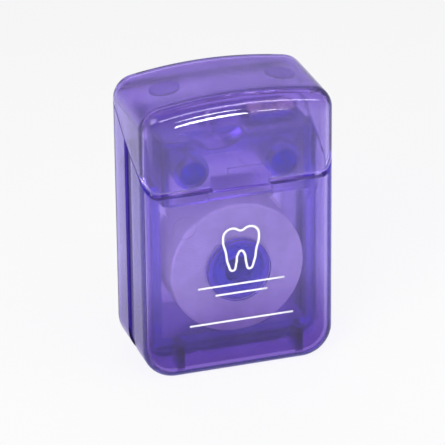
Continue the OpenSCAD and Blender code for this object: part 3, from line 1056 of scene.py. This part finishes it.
class DISPENSER_OT_front_print(bpy.types.Operator):
    """Builds the plain white motif on the front: a tooth in outline between thin rules"""

    bl_idname = "dispenser.front_print"
    bl_label = "Front print"

    def execute(self, context):
        sizes, finishes = settings(context)
        tooth = TOOTH_HALF + [(-x, z) for x, z in reversed(TOOTH_HALF[1:-1])]
        outline = 0.00021
        rule = 0.00018
        thinness = 0.06
        proud = 0.000012
        bm = bmesh.new()
        add_tube(bm, [(x, 0, TOOTH_HEIGHT + z) for x, z in tooth], outline, closed=True)
        for z, wide in RULES:
            add_tube(bm, [(-wide / 2, 0, z), (wide / 2, 0, z)], rule)
        bmesh.ops.scale(bm, vec=(1, thinness, 1), verts=bm.verts[:])
        bmesh.ops.translate(bm, verts=bm.verts[:], vec=(0, -sizes.half_depth - proud, 0))
        clean(bm)
        piece(bm, "front_motif", "casing", print_ink(finishes))
        return {"FINISHED"}


def lamp(name, place, aim, power, size, size_y, mirrored=False):
    """A rectangular softbox that is aimed at a point and shows in reflections only if mirrored."""
    data = bpy.data.lights.new(name, "AREA")
    data.shape = "RECTANGLE"
    data.size = size
    data.size_y = size_y
    data.energy = power
    obj = bpy.data.objects.new(name, data)
    obj.location = place
    obj.rotation_euler = (Vector(aim) - Vector(place)).to_track_quat("-Z", "Y").to_euler()
    obj.visible_glossy = mirrored
    bpy.context.scene.collection.objects.link(obj)


def floor_finish(finishes):
    """Pale floor that shows the object's shadow, with a painted fall-off of light that dims it a little away
    from the object.
    """
    n = Nodes(named_material("pale floor"))
    where = n.place()
    away = n.add("VectorMath", {0: where}, operation="LENGTH").outputs["Value"]
    # painted fall-off of light: the floor's glow dims from white near the object to 0.92 further out
    painted_falloff = n.add("ValToRGB", {"Fac": n.span(away, 0.0, 1.0, 0.05, 0.3)})
    painted_falloff.color_ramp.elements[0].color = (1.0, 1.0, 1.0, 1)
    painted_falloff.color_ramp.elements[1].color = (0.92, 0.92, 0.92, 1)
    matt = n.add("BsdfDiffuse", {"Color": n.varied(n.noise(where, 900.0), finishes.floor, 0.985, 1.0)})
    glow = n.add("Emission", {"Color": painted_falloff.outputs["Color"]}, {"Strength": 1.0})
    path = n.add("LightPath").outputs
    share = n.math("MULTIPLY", path["Is Camera Ray"], 0.85)
    for ray, part in (("Is Glossy Ray", 0.45), ("Is Transmission Ray", 0.65)):
        share = n.math("MULTIPLY_ADD", path[ray], part, share, use_clamp=True)
    mixed = n.add("MixShader", {0: share, 1: matt.outputs["BSDF"], 2: glow.outputs["Emission"]})
    return n.finish(mixed.outputs["Shader"])


def white_room():
    """White surroundings, plain on the object and brighter to the camera, in gloss and through plastic."""
    n = Nodes(bpy.data.worlds.new("white room"), "OutputWorld")
    path = n.add("LightPath").outputs
    level = 0.30
    for ray, more in (("Is Camera Ray", 0.66), ("Is Glossy Ray", 0.22), ("Is Transmission Ray", 0.68)):
        level = n.math("MULTIPLY_ADD", path[ray], more, level)
    back = n.add("Background", {"Strength": level}, {"Color": (1, 1, 1, 1)})
    return n.finish(back.outputs["Background"])


class DISPENSER_OT_stage(bpy.types.Operator):
    """Sets the pale floor, the soft lamps, the white surroundings and the camera"""

    bl_idname = "dispenser.stage"
    bl_label = "Stage"

    def execute(self, context):
        scene = context.scene
        finishes = scene.dispenser_finishes
        bm = bmesh.new()
        bmesh.ops.create_circle(bm, cap_ends=True, segments=96, radius=3.0)
        mesh = bpy.data.meshes.new("floor")
        bm.to_mesh(mesh)
        bm.free()
        mesh.materials.append(floor_finish(finishes))
        floor = bpy.data.objects.new("floor", mesh)
        scene.collection.objects.link(floor)

        scene.world = white_room()
        middle = (0, 0, 0.025)
        lamp("key softbox", (-0.38, -0.45, 0.38), middle, 3.0, 0.4, 0.3)
        lamp("fill softbox", (0.45, -0.3, 0.3), middle, 0.7, 0.5, 0.4)
        lamp("back softbox", (0.1, 0.5, 0.45), middle, 0.6, 0.6, 0.3)
        lamp("strip", (0.13, -0.45, 0.165), (0, 0, 0.045), 0.7, 0.35, 0.05, mirrored=True)

        data = bpy.data.cameras.new("camera")
        data.sensor_width = 36.0
        data.lens = 282.5
        data.shift_x = -0.00193
        data.shift_y = -0.01064
        camera = bpy.data.objects.new("camera", data)
        right = Vector((0, 0, 1)).cross(CAMERA_BACK).normalized()
        roll = math.radians(CAMERA_ROLL)
        across = math.cos(roll) * right + math.sin(roll) * CAMERA_BACK.cross(right)
        turn = Matrix((across, CAMERA_BACK.cross(across), CAMERA_BACK)).transposed()
        camera.matrix_world = Matrix.Translation(CAMERA_PLACE) @ turn.to_4x4()
        scene.collection.objects.link(camera)
        scene.camera = camera

        scene.view_settings.view_transform = "Standard"
        scene.cycles.max_bounces = 24
        scene.cycles.transmission_bounces = 24
        scene.cycles.transparent_max_bounces = 32
        return {"FINISHED"}


class DISPENSER_PT_panel(bpy.types.Panel):
    """Lists the dispenser's sizes, finishes and pieces"""

    bl_idname = "DISPENSER_PT_panel"
    bl_label = "Floss dispenser"
    bl_space_type = "VIEW_3D"
    bl_region_type = "UI"
    bl_category = "Dispenser"

    def draw(self, context):
        layout = self.layout
        for group in (context.scene.dispenser_sizes, context.scene.dispenser_finishes):
            box = layout.box()
            for key in group.__annotations__:
                box.prop(group, key)
        for operator in OPERATORS:
            layout.operator(operator.bl_idname)


OPERATORS = (
    DISPENSER_OT_stage,
    DISPENSER_OT_front_shell,
    DISPENSER_OT_rear_shell,
    DISPENSER_OT_frame,
    DISPENSER_OT_hinge,
    DISPENSER_OT_cap,
    DISPENSER_OT_cap_details,
    DISPENSER_OT_cutter,
    DISPENSER_OT_bobbin,
    DISPENSER_OT_strand,
    DISPENSER_OT_front_print,
)

CLASSES = (DispenserSizes, DispenserFinishes) + OPERATORS + (DISPENSER_PT_panel,)


def register():
    for cls in CLASSES:
        bpy.utils.register_class(cls)
    bpy.types.Scene.dispenser_sizes = bpy.props.PointerProperty(type=DispenserSizes)
    bpy.types.Scene.dispenser_finishes = bpy.props.PointerProperty(type=DispenserFinishes)


def unregister():
    del bpy.types.Scene.dispenser_finishes
    del bpy.types.Scene.dispenser_sizes
    for cls in reversed(CLASSES):
        bpy.utils.unregister_class(cls)


def main():
    register()
    bpy.ops.dispenser.stage()
    bpy.ops.dispenser.front_shell()
    bpy.ops.dispenser.rear_shell()
    bpy.ops.dispenser.frame()
    bpy.ops.dispenser.hinge()
    bpy.ops.dispenser.cap()
    bpy.ops.dispenser.cap_details()
    bpy.ops.dispenser.cutter()
    bpy.ops.dispenser.bobbin()
    bpy.ops.dispenser.strand()
    bpy.ops.dispenser.front_print()


if __name__ == "__main__":
    main()
